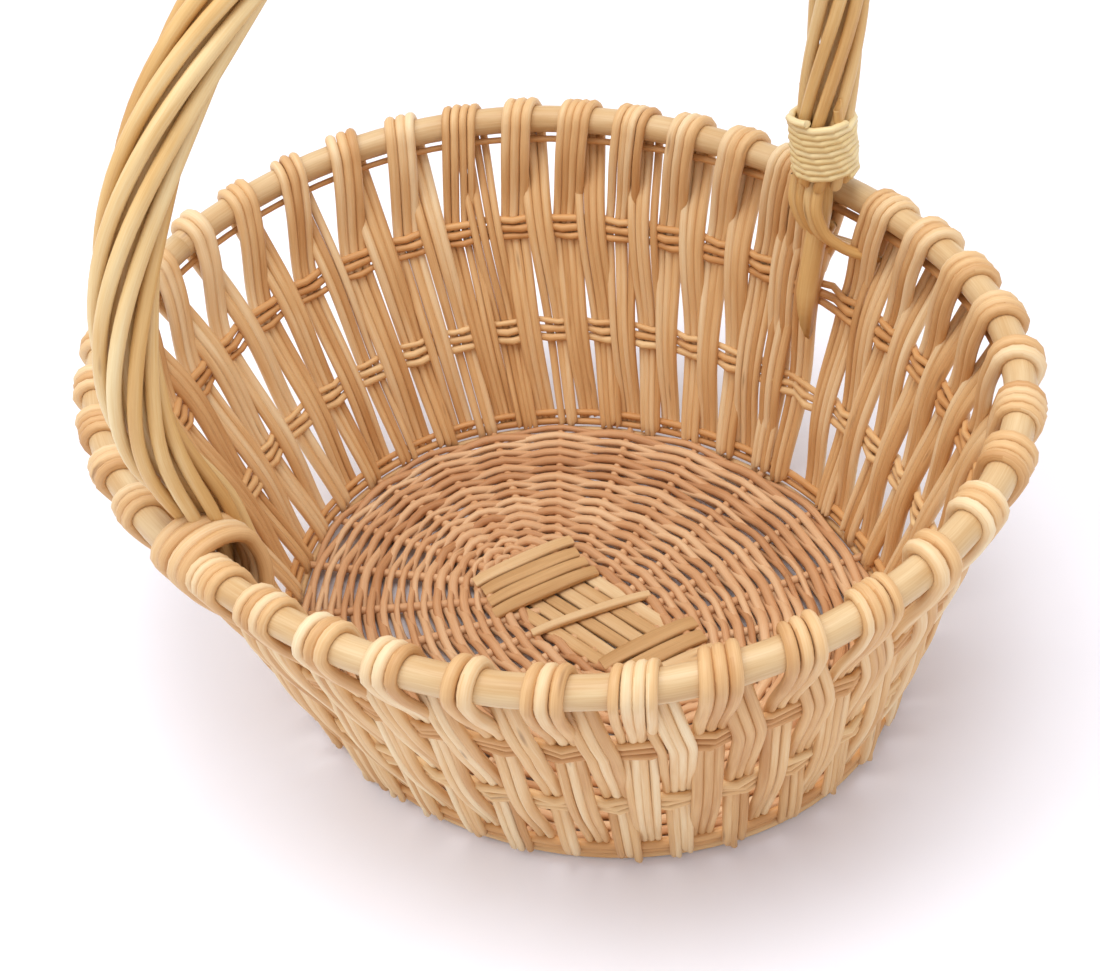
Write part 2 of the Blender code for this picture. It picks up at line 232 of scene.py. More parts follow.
# The handle rods: paler, and a little polished by hands.
HANDLE_WILLOW = willow("peeled_willow_handle", "#C08B4A", "#DAB070", "#EDD4A0", 0.42)
# The split sticks: bare wood with no skin, so dull, with a deeper grain.
SPLIT_WILLOW = willow("split_willow_sticks", "#B1844F", "#CDA470", "#E2C598", 0.64, 0.6)
# The lashing: the glossy outer skin of cane, almost without marks.
CANE = willow("lashing_cane_skin", "#D9B36C", "#E8CC8E", "#F2DFAF", 0.34, 0.15)
print("finishes:", [m.name for m in bpy.data.materials if "willow" in m.name or "cane" in m.name])


# %% [markdown]
# ## The rod blank
# A rod is a long cylinder, but a plain cylinder has no steps along it and cannot bend.
# So the blank is a cylinder primitive of unit length and radius, its long edges are
# subdivided, and its ends are inset and pushed out a little, as a knife leaves them.
# Making it once and copying it is quicker than making each rod from nothing.

# %% Make a blank
def deselect(mesh):
    for part in (mesh.vertices, mesh.edges, mesh.polygons):
        part.foreach_set("select", np.zeros(len(part), bool))


def edit_by(kind):
    """Enter edit mode. The kind is set first, or selected edges would select their faces."""
    bpy.context.tool_settings.mesh_select_mode = (False, kind == "EDGE", kind == "FACE")
    bpy.ops.object.mode_set(mode="EDIT")


def make_blank(name, sides, steps):
    """A straight rod along X from 0 to 1 with radius 1, cut into steps."""
    bpy.ops.mesh.primitive_cylinder_add(vertices=sides, radius=1, depth=1, end_fill_type="NGON",
                                        location=(0.5, 0, 0), rotation=(0, math.pi / 2, 0))
    blank = bpy.context.object
    blank.name = name
    bpy.ops.object.transform_apply(location=True, rotation=True, scale=True)
    mesh = blank.data
    deselect(mesh)
    for edge in mesh.edges:
        start, end = (mesh.vertices[i].co for i in edge.vertices)
        edge.select = abs(end.x - start.x) > 0.5
    edit_by("EDGE")
    bpy.ops.mesh.subdivide(number_cuts=steps - 1)
    bpy.ops.object.mode_set(mode="OBJECT")
    for way in (-1, 1):
        deselect(mesh)
        for face in mesh.polygons:
            face.select = face.normal.x * way > 0.9
        edit_by("FACE")
        bpy.ops.mesh.inset(thickness=0.25)
        bpy.ops.transform.translate(value=(way * 0.25 / steps, 0, 0))
        bpy.ops.object.mode_set(mode="OBJECT")
    bpy.ops.object.shade_smooth()
    write_rod_uv(mesh)
    blank.select_set(False)
    bpy.context.scene.collection.objects.unlink(blank)
    return blank


def write_rod_uv(mesh):
    """UV of a blank: turns around it and the share along it."""
    co = np.zeros(len(mesh.vertices) * 3)
    mesh.vertices.foreach_get("co", co)
    co = co.reshape(-1, 3)
    corner = np.zeros(len(mesh.loops), int)
    mesh.loops.foreach_get("vertex_index", corner)
    around = np.arctan2(co[:, 2], co[:, 1])[corner] / (2 * math.pi)
    for face in mesh.polygons:
        own = slice(face.loop_start, face.loop_start + face.loop_total)
        if np.ptp(around[own]) > 0.5:
            around[own] = np.where(around[own] < 0, around[own] + 1, around[own])
    uv = np.column_stack([around, co[corner, 0]])
    mesh.uv_layers["UVMap"].data.foreach_set("uv", uv.astype(np.float32).ravel())


stake_blank = make_blank("stake_blank", 10, 112)
print("faces in a stake blank:", len(stake_blank.data.polygons))


# %% [markdown]
# ## Bending a rod
# The blank is stretched to the length of its route and to the rod's thickness, thinner
# towards the tip, and a Curve modifier bends it along the route. The modifier is
# applied, so that each rod is a mesh of its own, and the route is thrown away.

# %% Bend a blank along a route
def bend(blank, name, route, radius, tips=(1.0, 1.0), tone=None, flat=1.0, slant=0.6):
    """A copy of the blank along the route. Tips are the thickness at its two ends."""
    steps = [(b - a).length for a, b in zip(route, route[1:])]
    length = sum(steps)
    rod = bpy.data.objects.new(name, blank.data.copy())
    bpy.context.scene.collection.objects.link(rod)
    mesh = rod.data
    co = np.zeros(len(mesh.vertices) * 3)
    mesh.vertices.foreach_get("co", co)
    co = co.reshape(-1, 3)
    along = np.clip(co[:, 0], 0, 1)
    end = np.where(along < 0.5, tips[0], tips[1])
    thick = radius * (1 + (end - 1) * np.abs(2 * along - 1) ** 1.5)
    cut = (along >= 0.9999).astype(float) - (along <= 0.0001).astype(float)
    x = np.clip(co[:, 0] * length, -0.0008, length + 0.0008)
    x = x + cut * slant * radius * co[:, 1]
    co = np.column_stack([x, co[:, 1] * thick, co[:, 2] * thick * flat])
    mesh.vertices.foreach_set("co", co.astype(np.float32).ravel())
    uv = np.zeros(len(mesh.loops) * 2)
    mesh.uv_layers["UVMap"].data.foreach_get("uv", uv)
    uv = uv.reshape(-1, 2) * (2 * math.pi * radius, length) + (0, dice.uniform(0, 9))
    mesh.uv_layers["UVMap"].data.foreach_set("uv", uv.astype(np.float32).ravel())
    tone = dice.random() if tone is None else tone
    own = mesh.attributes.new("tone", "FLOAT", "POINT")
    own.data.foreach_set("value", np.full(len(mesh.vertices), tone, np.float32))
    line = bpy.data.curves.new("route", "CURVE")
    line.dimensions = "3D"
    line.splines.new("POLY").points.add(len(route) - 1)
    for point, place in zip(line.splines[0].points, route):
        point.co = (*place, 1.0)
    guide = bpy.data.objects.new("route", line)
    bpy.context.scene.collection.objects.link(guide)
    bender = rod.modifiers.new("bend", "CURVE")
    bender.object = guide
    bpy.context.view_layer.objects.active = rod
    bpy.ops.object.modifier_apply(modifier="bend")
    bpy.data.objects.remove(guide)
    return rod


def finish_piece(rods, name, mat, nodes):
    """Join rods into one piece that rides on the basket and stands for CAD nodes."""
    bpy.ops.object.select_all(action="DESELECT")
    for rod in rods:
        rod.select_set(True)
    bpy.context.view_layer.objects.active = rods[0]
    if len(rods) > 1:
        bpy.ops.object.join()
    piece = rods[0]
    piece.name = name
    piece.data.name = name
    piece.data.materials.clear()
    piece.data.materials.append(mat)
    piece.select_set(False)
    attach(piece, "root")
    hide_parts(*nodes)
    return piece


# %% [markdown]
# ## The hoop
# The hoop is one peeled rod as thick as a finger, scarfed into a ring. Its ends meet at
# the left side, close to a group of stakes, so the joint is hardly seen.

# %% Bend the hoop
def ring_route(z, start, steps, over=0.0, wander=0.0, dip=0.0, weave=0.0):
    """Once round the wall, and past the start by the angle over, where the rod dips.

    Weave is how far the ring swings out at the first leg of each group.
    """
    phases = [dice.uniform(0, 2 * math.pi) for _ in range(4)]
    route = []
    for i in range(steps + 1):
        turn = start + (2 * math.pi + over) * i / steps
        rise = wander * (math.sin(3 * turn + phases[0]) + 0.6 * math.sin(7 * turn + phases[1]))
        sway = wander * 0.5 * math.sin(5 * turn + phases[2])
        if weave:
            groups = (share_at(turn % (2 * math.pi)) - FIRST_SHARE) * GROUPS
            sway += weave * math.cos(2 * math.pi * groups)
        lap = max(0.0, 1 - (turn - start) / over) if over else 0.0
        route.append(wall(turn, z + rise + dip * lap, sway - abs(dip) * lap))
    return route


skew_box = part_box("handle_core")
SKEW = math.atan2(skew_box[1].x - CORE_RADIUS, skew_box[1].y - CORE_RADIUS)
FOOT_TURN = math.atan2(math.cos(SKEW) / RIM[1], math.sin(SKEW) / RIM[0])
FIRST_SHARE = share_at(FOOT_TURN)
HOOP_STEPS = 240
HOOP_JOINT = 0.31            # share of the way round from the first group
hoop_blank = make_blank("hoop_blank", 20, HOOP_STEPS)
hoop_route = ring_route(RIM_Z, turn_at(FIRST_SHARE + HOOP_JOINT), HOOP_STEPS)
hoop_rod = bend(hoop_blank, "hoop", hoop_route, HOOP_RADIUS, tone=0.75, slant=0)
finish_piece([hoop_rod], "hoop", HOOP_WILLOW, ["rim_hoop"])
print(f"the handle stands {math.degrees(SKEW):.1f} degrees off the short axis")

# %% [markdown]
# ## The bands and the wale
# Three thin rods lie one on another at each band and in the wale at the foot, and one
# runs under the hoop. They are rings like the hoop, but each rod overlaps its own start
# by a few centimetres and is a little uneven. Where a stake passes, the band rods swing
# to the other side by half the way, as the stake does, so both stay nearly straight.

# %% Bend the band rods
RING_STEPS = 380
UNDER_ROD_RADIUS = 0.0016
WALE_ROD_RADIUS = 0.0018
ring_blank = make_blank("ring_blank", 9, RING_STEPS)
BAND_SWING = 0.0016          # the band rods give way to the stakes as much as they to them


def band(name, z, radius, rows, mat, node, weave=0.0):
    """Rings one above another, each starting at its own place."""
    rods = []
    for row in range(rows):
        height = z + (row - (rows - 1) / 2) * radius * 2.02
        start = dice.uniform(0, 2 * math.pi)
        route = ring_route(height, start, RING_STEPS, 0.18, 0.00012, 0.0006, weave)
        rods.append(bend(ring_blank, name, route, radius * dice.uniform(0.92, 1.03), (0.7, 0.7)))
    return finish_piece(rods, name, mat, [node])


UNDER_Z = middle_of("under_rim_rod").z
band("upper_band_rods", UPPER_Z, BAND_ROD_RADIUS, 3, BAND_WILLOW, "upper_band",
     BAND_SWING)
band("lower_band_rods", LOWER_Z, BAND_ROD_RADIUS, 3, BAND_WILLOW, "lower_band",
     -BAND_SWING)
band("under_hoop_rod", UNDER_Z, UNDER_ROD_RADIUS, 1, BAND_WILLOW, "under_rim_rod")
band("wale_rods", WALE_Z, WALE_ROD_RADIUS, 3, BAND_WILLOW, "base_wale")
print("band heights in mm:", [round(z * 1000) for z in (WALE_Z, LOWER_Z, UPPER_Z, UNDER_Z)])


# %% [markdown]
# ## The stakes
# The wall is groups of two to four rods that lie side by side. A group starts inside
# the wale, passes outside the lower band and inside the upper one, goes up outside the
# hoop, turns over it and comes down again half a pitch further round, weaving the
# other way. One route function gives that path for any rod of a group: heights where
# the side is fixed, a smooth swing between them, and a half circle over the hoop.

# %% The route of one stake
SWING = BAND_ROD_RADIUS + ROD_RADIUS - BAND_SWING
LEG_STEPS = 40
WRAP_STEPS = 14
PRESSED = 0.60               # wet rods flatten where they are pulled over the hoop
WRAP_SHARE = 0.22            # of the half pitch that is made over the hoop
FOOT_FLARE = 0.4             # the cut ends lean out below the wale
FOOT_SHRINK = 0.86           # legs crowd together where the wall is narrowest


def leg(turn_at_height, first, radius, end_z, reach=0.0):
    """One leg from its cut end up to the hoop's centre line, or past what it binds."""
    heights = [WALE_Z, LOWER_Z, UPPER_Z, RIM_Z]
    wrap = HOOP_RADIUS + radius * PRESSED
    sides = [first * SWING, -first * SWING, first * SWING, -first * (wrap + reach)]
    points = []
    for i in range(LEG_STEPS):
        z = end_z + (RIM_Z - end_z) * i / LEG_STEPS
        k = max(j for j in range(3) if heights[j] <= max(z, WALE_Z))
        part = min(max((z - heights[k]) / (heights[k + 1] - heights[k]), 0), 1)
        part = (1 - math.cos(math.pi * part)) / 2
        out = sides[k] + (sides[k + 1] - sides[k]) * part + FOOT_FLARE * max(0, WALE_Z - z)
        points.append(wall(turn_at_height(z), z, out))
    return points


def stake_route(share, side, width, radius, ends, drift, stray, stagger, reach=0.0):
    """Up one leg, over the hoop and down the other. Side is -1 to 1 across the group.

    Reach is how much further inside the hoop the rod goes, to bind the handle's foot.
    """
    def turn(z, at, slip):
        low = min(1 - (z - WALE_Z) / (RIM_Z - WALE_Z), 1)
        spread = width * side / 2 * (1 - (1 - FOOT_SHRINK) * low)
        wander = stray * math.sin(math.pi * max(low, 0) * 1.6) if low > 0 else 0
        return turn_at(at + (spread + slip * low + wander) / RIM_LENGTH)

    def aside(z):
        """How much of the half pitch the inner leg has made at a height."""
        part = min(max((RIM_Z - z) / (RIM_Z - UPPER_Z), 0), 1)
        return half * (WRAP_SHARE + (1 - WRAP_SHARE) * part)

    half = 0.5 / GROUPS
    up = leg(lambda z: turn(z, share, drift[0]), -1, radius, ends[0])
    down = leg(lambda z: turn(z, share + aside(z), drift[1]), 1, radius, ends[1], reach)
    wrap = HOOP_RADIUS + radius * PRESSED + stagger
    over = []
    for i in range(WRAP_STEPS + 1):
        angle = math.pi * i / WRAP_STEPS
        at = turn(RIM_Z, share + half * WRAP_SHARE * i / WRAP_STEPS, 0)
        out = (wrap + reach / 2) * math.cos(angle) - reach / 2
        over.append(wall(at, RIM_Z + (wrap + reach / 6) * math.sin(angle), out, RIM_Z))
    return up + over + down[::-1]


print("a leg swings", round(SWING * 1000, 1), "mm to each side of a band")

# %% [markdown]
# ## Forty groups
# The groups are not all alike. Most have three rods, some two thick ones or four thin
# ones, every rod has its own thickness and tone, and the ends are cut by eye. Two groups
# stand aside from the even row: the one at the handle's back foot makes room for it, and
# the one at the front foot reaches over the bundle and binds it to the hoop.

# %% Bend the stakes
STAKE_RADIUS = {2: 0.0025, 3: 0.0021, 4: 0.00175}     # by the number in the group
END_LOW = 0.0036             # the cut ends stand this high at the least
LONG_ROD = 0.0010            # a few rods are cut this much longer
LONG_ODDS = 0.04
BINDING_GROUP = GROUPS // 2  # the group opposite the first one binds the front foot
BINDING_RODS = 4
BINDING_RADIUS = 0.0026
BINDING_WIDTH = 0.0150
BINDING_REACH = 0.0110
BINDING_SHIFT = 0.38         # of a pitch, so that it lies beside the handle
BACK_SHIFT = 0.42            # the first group stands aside from the handle's back foot


def stake_group(count):
    """One group of stakes, joined into one piece."""
    many = dice.choices((2, 3, 4), (3, 13, 4))[0]
    radius = STAKE_RADIUS[many]
    width = (many - 1) * 2 * radius * 0.97
    reach, place = 0.0, count
    if count == BINDING_GROUP:
        many, radius, width = BINDING_RODS, BINDING_RADIUS, BINDING_WIDTH
        reach, place = BINDING_REACH, count + BINDING_SHIFT
    elif count == 0:
        place = BACK_SHIFT
    drift = (dice.uniform(-0.0008, 0.0010), dice.uniform(0.0006, 0.0030))
    rods = []
    for rod in range(many):
        side = 2 * rod / (many - 1) - 1 + dice.uniform(-0.06, 0.06)
        ends = [dice.uniform(END_LOW, 0.0075), dice.uniform(END_LOW, 0.0080)]
        if dice.random() < LONG_ODDS:
            ends[0] = END_LOW - LONG_ROD
        own = radius * dice.uniform(0.88, 1.08)
        slip = [d + dice.uniform(-0.0006, 0.0006) for d in drift]
        route = stake_route(FIRST_SHARE + place / GROUPS, side, width, own, ends, slip,
                            dice.uniform(-0.0004, 0.0004), dice.uniform(0, 0.0003), reach)
        rods.append(bend(stake_blank, "stake", route, own, (0.72, 0.76)))
    name = f"stakes_{count + 1:02d}"
    return finish_piece(rods, name, STAKE_WILLOW, [f"stake_group_{count + 1:02d}"])


groups = [stake_group(count) for count in range(GROUPS)]
print("stake groups:", len(groups), "faces:", sum(len(g.data.polygons) for g in groups))

# %% [markdown]
# ## The base
# The base is woven first on the real basket. Sticks fan out from a cross in the middle
# and thin weavers run round them, over one stick and under the next, each round the
# other way from the last. The rounds are ovals a fixed distance apart, so the base
# keeps the long middle that the cross gives it.

# %% Weave the base
BASE_Z = 0.0045              # middle of the sticks
WEAVER_RADIUS = 0.0019
WEAVER_STEPS = 330
STICK_RADIUS = 0.0018
ROUND_PITCH = 0.00245
STICKS = 24
KINK = 0.97                  # how sharply a weaver bends at a stick, 1 for a corner
DRIFT = 0.35                 # of a round, sideways between the sticks
INNER = (0.047, 0.0175)      # half axes of the innermost round
INNER_X = middle_of("slath_long_sticks").x
BASE_EDGE = 0.0048           # the last round is pushed this far into the wale
base_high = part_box("base_weave")[1]
OUTER = (base_high.x + BASE_EDGE, base_high.y + BASE_EDGE)
ROUNDS = int((OUTER[1] - INNER[1]) / ROUND_PITCH)
weaver_blank = make_blank("weaver_blank", 7, WEAVER_STEPS)
stick_blank = make_blank("stick_blank", 10, 40)


def base_point(turn, share, z):
    """A point of the base. Share runs from the innermost round to the edge."""
    long, short = (a + (b - a) * share for a, b in zip(INNER, OUTER))
    return Vector((long * math.cos(turn) + INNER_X * (1 - share), short * math.sin(turn), z))


def weaver(row):
    """One round, over and under the sticks, bending sharply at each and straight between."""
    share = row / (ROUNDS - 1)
    start = dice.uniform(0, 2 * math.pi)
    lift = WEAVER_RADIUS + STICK_RADIUS * 0.1
    route = []
    for i in range(WEAVER_STEPS + 1):
        turn = start + (2 * math.pi + 0.1) * i / WEAVER_STEPS
        phase = turn * STICKS / 2 + math.pi * row
        wave = math.asin(KINK * math.cos(phase)) / math.asin(KINK)
        drift = DRIFT * math.sin(phase)
        route.append(base_point(turn, share + drift / ROUNDS, BASE_Z + lift * wave))
    return bend(weaver_blank, "weaver", route, WEAVER_RADIUS * dice.uniform(0.95, 1.08), (0.6, 0.6))


weavers = [weaver(row) for row in range(ROUNDS)]
sticks = []
for count in range(STICKS):
    turn = 2 * math.pi * count / STICKS
    reach = [base_point(turn, share, BASE_Z) for share in np.linspace(-0.08, 1.04, 24)]
    sticks.append(bend(stick_blank, "stick", reach, STICK_RADIUS, (1, 0.8), tone=0.6))
finish_piece(weavers + sticks, "base_weave_rods", WEAVER_WILLOW, ["base_weave"])
print("rounds in the base:", ROUNDS, "on", STICKS, "sticks")

# %% [markdown]
# ## The cross in the middle
# Flat split sticks lie side by side in the middle, one set along the basket and two
# sets across it. A split stick is a flat bar with its long edges rounded. It dips at
# its ends, where weavers hold it down, and is never quite parallel to the next, so it
# is a cube that is bevelled, subdivided and bent like the rods.

# %% Lay the split sticks
def make_split_blank():
    """A flat stick along X from 0 to 1, two units wide and two thick."""
    bpy.ops.mesh.primitive_cube_add(size=1, location=(0.5, 0, 0))
    blank = bpy.context.object
    blank.name = "split_blank"
    blank.scale = (1, 2, 2)
    bpy.ops.object.transform_apply(location=True, rotation=True, scale=True)
    mesh = blank.data
    deselect(mesh)
    for edge in mesh.edges:
        start, end = (mesh.vertices[i].co for i in edge.vertices)
        edge.select = abs(end.x - start.x) > 0.5
    edit_by("EDGE")
    bpy.ops.mesh.bevel(offset=0.55, segments=3)
    bpy.ops.object.mode_set(mode="OBJECT")
    deselect(mesh)
    for edge in mesh.edges:
        start, end = (mesh.vertices[i].co for i in edge.vertices)
        edge.select = abs(end.x - start.x) > 0.5
    edit_by("EDGE")
    bpy.ops.mesh.subdivide(number_cuts=23)
    bpy.ops.object.mode_set(mode="OBJECT")
    bpy.ops.object.shade_smooth_by_angle(angle=math.radians(50))
    write_rod_uv(mesh)
    blank.select_set(False)
    bpy.context.scene.collection.objects.unlink(blank)
    return blank


split_blank = make_split_blank()
SUNK = 0.0030                # the sticks bed down between the weavers
SPLIT_THICK = 0.0026
CROSS_TURN = math.radians(72)     # the cross sticks don't lie square to the long ones


def split_group(name, node, many, size, turn):
    """Split sticks side by side in the middle of a CAD node, with their ends dipping."""
    middle = middle_of(node)
    along = Vector((math.cos(turn), math.sin(turn), 0))
    aside = Vector((-along.y, along.x, 0))
    wide = size[1] / many
    rods = []
    for count in range(many):
        place = wide * (count + 0.5 - many / 2)
        skew = dice.uniform(-0.0009, 0.0009)
        half = size[0] / 2 * dice.uniform(0.93, 1.04)
        height = middle.z - SUNK + dice.uniform(-0.0004, 0.0004)
        own = wide / 2 * dice.uniform(0.84, 0.98)
        route = []
        for i in range(25):
            s = i / 12 - 1
            sag = 0.0012 * s ** 4
            route.append(Vector((middle.x, middle.y, height - sag)) + along * half * s
                         + aside * (place + skew * s))
        rods.append(bend(split_blank, name, route, own, (0.86, 0.86),
                         flat=SPLIT_THICK / 2 / own, slant=0))
    return finish_piece(rods, name, SPLIT_WILLOW, [node])


split_group("long_split_sticks", "slath_long_sticks", 6, (0.100, 0.034), 0)
split_group("cross_split_sticks_a", "slath_cross_sticks_a", 4, (0.042, 0.027), CROSS_TURN)
split_group("cross_split_sticks_b", "slath_cross_sticks_b", 3, (0.040, 0.024), CROSS_TURN)
print("split sticks laid, middle at", [round(v * 1000, 1) for v in middle_of("slath_cross_sticks_a")])

# %% [markdown]
# ## The binding weaver
# One thin weaver crosses the long sticks alone between the two cross groups. It pulls
# the long sticks together and shows as a single pale line.

# %% Lay the binding weaver
binder_z = middle_of("slath_cross_sticks_a").z - SUNK
binder_route = [Vector((0.0045 + 0.010 * s, 0.021 * s, binder_z - 0.0014 * abs(s) ** 3))
                for s in np.linspace(-1, 1, 25)]
binder = bend(split_blank, "binder", binder_route, 0.0019, (0.9, 0.9), tone=0.7, flat=0.7, slant=0)
finish_piece([binder], "slath_binder", SPLIT_WILLOW, [])

# %% [markdown]
# ## The handle
# A rod as thick as a finger is bent into the bow and its ends are pushed down inside
# the wall. Thinner rods are laid along it and twisted round it slowly, like the lay of
# a rope. The bow's legs lean out above the hoop and its top is half an ellipse, and
# each strand is a helix round that line.

# %% The line of the bow
FRONT_INSET = 0.0150         # the bundle's middle inside the hoop's, at the front
BACK_INSET = 0.0113
LOW_INSET = (0.0120, 0.0118) # and inside the wall's, further down
FRONT_WIDE_Z = RIM_Z + 0.049     # where each leg stands widest
BACK_WIDE_Z = RIM_Z + 0.103
LEAN_RISE = 0.0035           # the front leg is upright this far above the hoop
FRONT_LEAN = 0.75            # below 1, it leans out soon above that
core_low, core_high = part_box("handle_core")
ACROSS = Vector((math.cos(SKEW), -math.sin(SKEW), 0))


def in_plane(w, z):
    return Vector((w * math.sin(SKEW), w * math.cos(SKEW), z))


def reach_at(z):
    point = wall(FOOT_TURN, z)
    return math.hypot(point.x, point.y)


def whole_bow():
    """The bow's middle line, as (distance along its plane, height) pairs."""
    lows = [core_low.z + 0.001, (core_low.z + RIM_Z) / 2]
    back_wide = (core_high.y - CORE_RADIUS) / math.cos(SKEW)
    front_wide = (-core_low.y - CORE_RADIUS) / math.cos(SKEW)
    front, back = reach_at(RIM_Z) - FRONT_INSET, reach_at(RIM_Z) - BACK_INSET
    line = [(-reach_at(z) + LOW_INSET[0], z) for z in lows] + [(-front, RIM_Z)]
    start = RIM_Z + LEAN_RISE
    for share in np.linspace(0, 1, 16)[:-1]:
        ease = (1 - math.cos(math.pi * share ** FRONT_LEAN)) / 2
        line.append((-front - (front_wide - front) * ease, start + (FRONT_WIDE_Z - start) * share))
    middle, half = (back_wide - front_wide) / 2, (back_wide + front_wide) / 2
    mean, tilt = (BACK_WIDE_Z + FRONT_WIDE_Z) / 2, (BACK_WIDE_Z - FRONT_WIDE_Z) / 2
    rise = math.sqrt((core_high.z - CORE_RADIUS - mean) ** 2 - tilt ** 2)
    for angle in np.linspace(0, math.pi, 121):
        side = -math.cos(angle)
        line.append((middle + half * side, mean + tilt * side + rise * math.sin(angle)))
    for share in np.linspace(1, 0, 24)[1:]:
        ease = (1 - math.cos(math.pi * share)) / 2
        line.append((back + (back_wide - back) * ease, RIM_Z + (BACK_WIDE_Z - RIM_Z) * share))
    return line + [(reach_at(z) - LOW_INSET[1], z) for z in reversed(lows)]


def bow(low_front, low_back, steps):
    """Even steps along the bow between a height on each leg."""
    line = np.array(whole_bow())
    run = np.concatenate([[0], np.cumsum(np.linalg.norm(np.diff(line, axis=0), axis=1))])
    fine = np.linspace(0, run[-1], 900)
    w, z = np.interp(fine, run, line[:, 0]), np.interp(fine, run, line[:, 1])
    crest = int(np.argmax(z))
    first = int(np.argmax(z[:crest] >= low_front))
    last = crest + int(np.argmax(z[crest:] < low_back)) if z[-1] < low_back else len(z) - 1
    soft = np.hanning(31) / np.hanning(31).sum()
    w = np.convolve(np.pad(w, 15, mode="edge"), soft, "valid")
    at = np.linspace(fine[first], fine[last], steps + 1)
    return [(float(np.interp(s, fine, w)), float(np.interp(s, fine, z))) for s in at]


print("the bow's line is worked out at", len(whole_bow()), "points")


# %% [markdown]
# ## The core and its strands
# The core fills the bundle and the strands hide nearly all of it. They could be one
# twisted mesh, but separate rods keep their own tone and the shadow between them, as on
# the real handle. All of them are bent along the same line, the strands at a distance.

# %% Bend the core and twist the strands round it
HANDLE_STEPS = 150
handle_blank = make_blank("handle_blank", 12, HANDLE_STEPS)
core_line = bow(core_low.z, core_low.z, HANDLE_STEPS)
core_rod = bend(handle_blank, "handle_core_rod", [in_plane(w, z) for w, z in core_line],
                CORE_RADIUS, (0.9, 0.70), tone=0.55, slant=2.2)
finish_piece([core_rod], "handle_core_rod", HANDLE_WILLOW, ["handle_core"])

STRANDS = 8
STRAND_TURNS = 2.25
strand_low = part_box("handle_strand_1")[0].z
lash_low, lash_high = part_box("handle_lashing")
strand_line = bow(strand_low, lash_low.z - 0.002, HANDLE_STEPS)


def strand(count):
    """One strand: a helix round the bow's line."""
    reach = CORE_RADIUS + STRAND_RADIUS
    route = []
    for i, (w, z) in enumerate(strand_line):
        before = strand_line[max(i - 1, 0)]
        after = strand_line[min(i + 1, len(strand_line) - 1)]
        slope = Vector((after[0] - before[0], after[1] - before[1])).normalized()
        normal = in_plane(-slope.y, slope.x)
        angle = 2 * math.pi * (count / STRANDS + STRAND_TURNS * i / (len(strand_line) - 1))
        route.append(in_plane(w, z) + (normal * math.cos(angle) + ACROSS * math.sin(angle)) * reach)
    rod = bend(handle_blank, "strand", route, STRAND_RADIUS, (0.9, 0.9))
    name = f"handle_strand_rod_{count + 1}"
    return finish_piece([rod], name, HANDLE_WILLOW, [f"handle_strand_{count + 1}"])


strands = [strand(count) for count in range(STRANDS)]
print("strands:", len(strands), "top of the bow at", round(core_high.z * 1000), "mm")

# %% [markdown]
# ## The lashing
# At the back foot thin cane is wound tightly round the bundle, nine turns one on
# another, and its end sticks out at the top. It is one long helix.

# %% Wind the lashing
LASH_TURNS = 9
LASH_STEPS = 330
CANE_RADIUS = 0.00135
lash_blank = make_blank("lash_blank", 8, LASH_STEPS)
lash_middle = (lash_low + lash_high) / 2
lash_radius = CORE_RADIUS + 2 * STRAND_RADIUS + 0.0007
lash_route = []
for i in range(LASH_STEPS + 1):
    share = i / LASH_STEPS
    angle = 2 * math.pi * LASH_TURNS * share
    z = lash_low.z + 0.001 + (lash_high.z - lash_low.z - 0.002) * share
    lash_route.append(Vector((lash_middle.x + lash_radius * math.cos(angle),
                              lash_middle.y + lash_radius * math.sin(angle), z)))
lash = bend(lash_blank, "lashing", lash_route, CANE_RADIUS, tone=0.7, slant=0)
tail_route = [Vector((lash_middle.x + lash_radius * math.cos(angle) * 1.04,
                      lash_middle.y + lash_radius * math.sin(angle) * 1.04,
                      lash_high.z + 0.0004 + 0.0012 * i / 20))
              for i, angle in enumerate(np.linspace(-2.2, -1.3, 21))]
tail = bend(stick_blank, "tail", tail_route, 0.0014, tone=0.8)
finish_piece([lash, tail], "cane_lashing", CANE, ["handle_lashing"])
print("lashing of", LASH_TURNS, "turns")

# %% [markdown]
# ## The back foot
# The strands do not end at the lashing. Four of them bend over the hoop beside the
# core and are tucked away behind the next group of stakes, a few short rods are
# jammed in beside the core to wedge it, and two cut ends stand up out of the lashing.

# %% Tuck in the rods at the back foot
BACK = in_plane(reach_at(RIM_Z), 0)
INWARD = -in_plane(1, 0)


def foot_rod(points, radius):
    """A short rod through points (along the hoop, inwards from it, above it), smoothed."""
    fine = np.linspace(0, len(points) - 1, 25)
    along, inward, above = (np.interp(fine, range(len(points)), c) for c in zip(*points))
    soft = np.hanning(9)[1:-1] / np.hanning(9).sum()
    along, inward, above = (np.convolve(np.pad(c, 3, mode="edge"), soft, "valid")
                            for c in (along, inward, above))
    route = [BACK + ACROSS * a + INWARD * b + Vector((0, 0, RIM_Z + c))
             for a, b, c in zip(along, inward, above)]
    return bend(stick_blank, "foot_rod", route, radius, (0.95, 0.8), slant=1.6)


